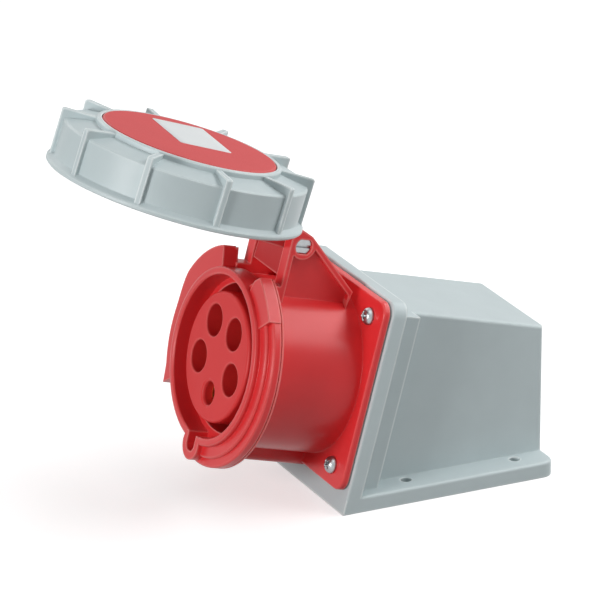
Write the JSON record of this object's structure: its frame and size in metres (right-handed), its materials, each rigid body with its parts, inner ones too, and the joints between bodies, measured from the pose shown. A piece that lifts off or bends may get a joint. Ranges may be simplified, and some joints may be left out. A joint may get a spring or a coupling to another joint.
{
  "type": "pin and sleeve receptacle",
  "caption": "Angled surface-mounted power socket with a stepped red collar, recessed round contacts and a hinged lid with a ribbed bayonet ring.",
  "frame": {"origin": "centre of the four fixing holes, on the mounting face of the foot", "axes": "+Z leaves the mounting face, -Y is the side the socket looks to, +X to the right seen from there"},
  "size_m": [0.1464, 0.2848, 0.2348],
  "materials": {
    "grey_plastic": "satin",
    "red_plastic": "satin",
    "red_insulator": "satin",
    "black_plastic": "matte",
    "black_rubber": "matte",
    "grey_rubber": "matte",
    "contact_brass": "satin",
    "zinc_steel": "satin",
    "spring_steel": "satin"
  },
  "bodies": {
    "housing": {"mounting_box": "grey_plastic", "cable_grommet": "black_rubber", "flange_gasket": "grey_rubber", "socket_shell": "red_plastic", "flange_screws": "zinc_steel", "hinge_pin": "zinc_steel", "contact_carrier": "red_insulator", "contact_springs": "spring_steel", "terminal_screws": "zinc_steel", "rear_insulator": "black_plastic", "centre_screw": "zinc_steel", "carrier_snap_ring": "spring_steel", "line_contact_1": "contact_brass", "line_contact_2": "contact_brass", "line_contact_3": "contact_brass", "neutral_contact": "contact_brass", "earth_contact": "contact_brass"},
    "lid": {"lid_cap": "red_plastic", "lid_seal": "grey_rubber", "ring_clip": "spring_steel"},
    "ring": {"bayonet_ring": "grey_plastic"}
  },
  "joints": [
    {"name": "lid_hinge", "type": "hinge", "parent": "housing", "child": "lid", "pos_m": [0, -0.08816, 0.15039], "axis": [1, 0, 0], "range_deg": [0, 93.7]},
    {"name": "ring_turn", "type": "hinge", "parent": "lid", "child": "ring", "pos_m": [0, -0.14593, 0.21365], "axis": [0, 0.3206, 0.9472], "range_deg": [-28, 0]}
  ]
}
